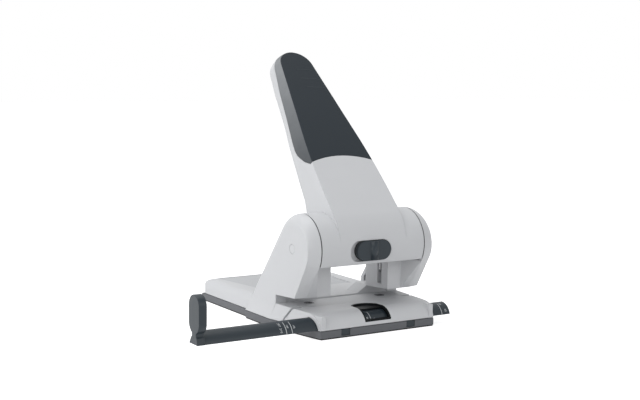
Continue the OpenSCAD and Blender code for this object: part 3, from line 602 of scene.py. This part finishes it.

# %% Put black arcs of painted shade in the gaps
axle_y, axle_z = -16.8 * mm, 77.1 * mm
shade_inner_radius, shade_outer_radius, inner_end, outer_end = 12 * mm, 31.35 * mm, 56.3 * mm, 57.1 * mm
arc_start, arc_end, arc_steps = math.radians(7), math.radians(205), 66
for side, way in (("left", -1), ("right", 1)):
    painted_gap_shade = bmesh.new()
    rows = []
    for step in range(arc_steps + 1):
        angle = arc_start + (arc_end - arc_start) * step / arc_steps
        rows.append([
            painted_gap_shade.verts.new((way * x, axle_y + r * math.cos(angle), axle_z + r * math.sin(angle)))
            for x, r in ((inner_end, shade_inner_radius), (inner_end, shade_outer_radius),
                         (outer_end, shade_outer_radius), (outer_end, shade_inner_radius))])
    for a, b in zip(rows, rows[1:]):
        for k in range(4):
            painted_gap_shade.faces.new((a[k], b[k], b[(k + 1) % 4], a[(k + 1) % 4]))
    painted_gap_shade.faces.new(rows[0])
    painted_gap_shade.faces.new(rows[-1][::-1])
    bmesh.ops.recalc_face_normals(painted_gap_shade, faces=painted_gap_shade.faces)
    # Each black arc is painted shade: it darkens a gap that is dark only with shade
    ring = as_piece(side + "_felt", painted_gap_shade, mat_rubber)
    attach(ring, body_of["lever_shell"])
# The size of the black arcs of painted shade
print("felt arcs:", round(shade_outer_radius * 2 / mm, 1), "mm across")

# %% [markdown]
# ## Marks on the ruler
# The ruler is printed with cross lines and numbers, read through the sight window. Ours are
# plain stand-ins and no true scale. A picture could carry them, but it would blur up close.
# Instead the numbers are text turned into a mesh, and every point is wrapped on the round
# face of the ruler, a few hundredths of a millimetre proud, as printing ink lies.

# %% Wrap a flat mark on the ruler
ruler_centre, ruler_face = Vector((0, -40.3, 5)) * mm, 13.4 * mm
ink = 0.04 * mm


def on_ruler(along, across):
    """A place at `along` on the ruler's length and `across` up its round face from level."""
    angle = across / ruler_face
    return Vector((along, ruler_centre.y - (ruler_face + ink) * math.cos(angle),
                   ruler_centre.z + (ruler_face + ink) * math.sin(angle)))


print("ruler's face: radius", round(ruler_face / mm, 1), "mm")


# %% Helpers for numbers and lines, in millimetres
def number_mesh(form, text, size, along, top):
    """Numbers that read down the round face, from `top`, with their feet to the left."""
    curve = bpy.data.curves.new("number_" + text, "FONT")
    curve.body, curve.size, curve.resolution_u = text, size * mm, 3
    carrier = bpy.data.objects.new("number_" + text, curve)
    flat = carrier.to_mesh()
    spots = [form.verts.new(on_ruler(along * mm + v.co.y, top * mm - v.co.x))
             for v in flat.vertices]
    for face in flat.polygons:
        form.faces.new([spots[i] for i in face.vertices])
    carrier.to_mesh_clear()
    bpy.data.objects.remove(carrier)


def cross_line(form, along, low, high, width=0.5, steps=12):
    """A thin line across the ruler from `low` to `high` up its round face."""
    rows = []
    for step in range(steps + 1):
        across = (low + (high - low) * step / steps) * mm
        rows.append([form.verts.new(on_ruler((along + side * width / 2) * mm, across))
                     for side in (-1, 1)])
    for below, above in zip(rows, rows[1:]):
        form.faces.new((below[0], below[1], above[1], above[0]))


print("helpers:", number_mesh.__name__, cross_line.__name__)

# %% Print the marks
marks = bmesh.new()
for text, size, along, top in (("297  210", 3.0, -101.0, 16.0), ("148", 2.6, -93.6, 13.0),
                               ("105", 2.6, -87.2, 12.0), ("80", 3.0, -9.5, 10.5),
                               ("74", 2.6, -2.0, 9.0), ("12", 3.0, 77.5, 17.0),
                               ("45", 3.0, 80.0, 9.0)):
    number_mesh(marks, text, size, along, top)
for along, low, high in ((-95.0, 3.0, 16.5), (-89.2, 3.0, 16.5), (-5.0, 2.0, 17.0),
                         (76.0, 3.0, 16.5)):
    cross_line(marks, along, low, high)
marks.normal_update()
ruler_marks = as_piece("ruler_marks", marks, mark_paint)
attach(ruler_marks, body_of["ruler_bar"])
print("marks:", len(ruler_marks.data.polygons), "faces")

# %% [markdown]
# ## Lines on the grip
# Three shallow ribs cross the right half of the grip near its tip and stop the thumb from
# slipping. A bump in the rubber would draw them, but it has no outline and no height. So
# each is a low strip laid on the front face: rays cast on the drawn grip find where that
# face is under every point, and the strip's edges are sunk a little into it.

# %% Find the front face of the grip
grip_drawn = frame["nodes"]["grip_pad"].data
grip_front = BVHTree.FromPolygons([v.co for v in grip_drawn.vertices],
                                  [tuple(f.vertices) for f in grip_drawn.polygons])
lean = math.radians(44.1)
axle = Vector((0, axle_y, axle_z))
up_the_lever = Vector((0, math.sin(lean), math.cos(lean)))
into_the_lever = Vector((0, math.cos(lean), -math.sin(lean)))
print("the lever leans back", round(math.degrees(lean), 1), "degrees")

# %% Lay the ribs
rib_steps, rib_half, rib_proud, rib_sunk, rib_droop = 24, 0.55, 0.22, -0.02, 1.6
ray_start = 80 * mm
ribs = bmesh.new()
for up, from_x, to_x in ((188.5, -3.0, 14.5), (176.7, -3.0, 18.5), (165.2, -1.0, 20.5)):
    rows = []
    for step in range(rib_steps + 1):
        part = step / rib_steps
        aside = Vector(((from_x + (to_x - from_x) * part) * mm, 0, 0))
        row = []
        for off, proud in ((-rib_half, rib_sunk), (0, rib_proud), (rib_half, rib_sunk)):
            along = (up - rib_droop * part ** 3 + off) * mm
            start = axle + up_the_lever * along + aside - into_the_lever * ray_start
            spot = grip_front.ray_cast(start, into_the_lever)[0]
            row.append(ribs.verts.new(spot - into_the_lever * proud * mm))
        rows.append(row)
    for a, b in zip(rows, rows[1:]):
        for side in (0, 1):
            ribs.faces.new((a[side], b[side], b[side + 1], a[side + 1])).smooth = True
bmesh.ops.recalc_face_normals(ribs, faces=ribs.faces)
grip_ribs = as_piece("grip_ribs", ribs, grip_line)
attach(grip_ribs, body_of["grip_pad"])
print("ribs:", len(grip_ribs.data.polygons), "faces")
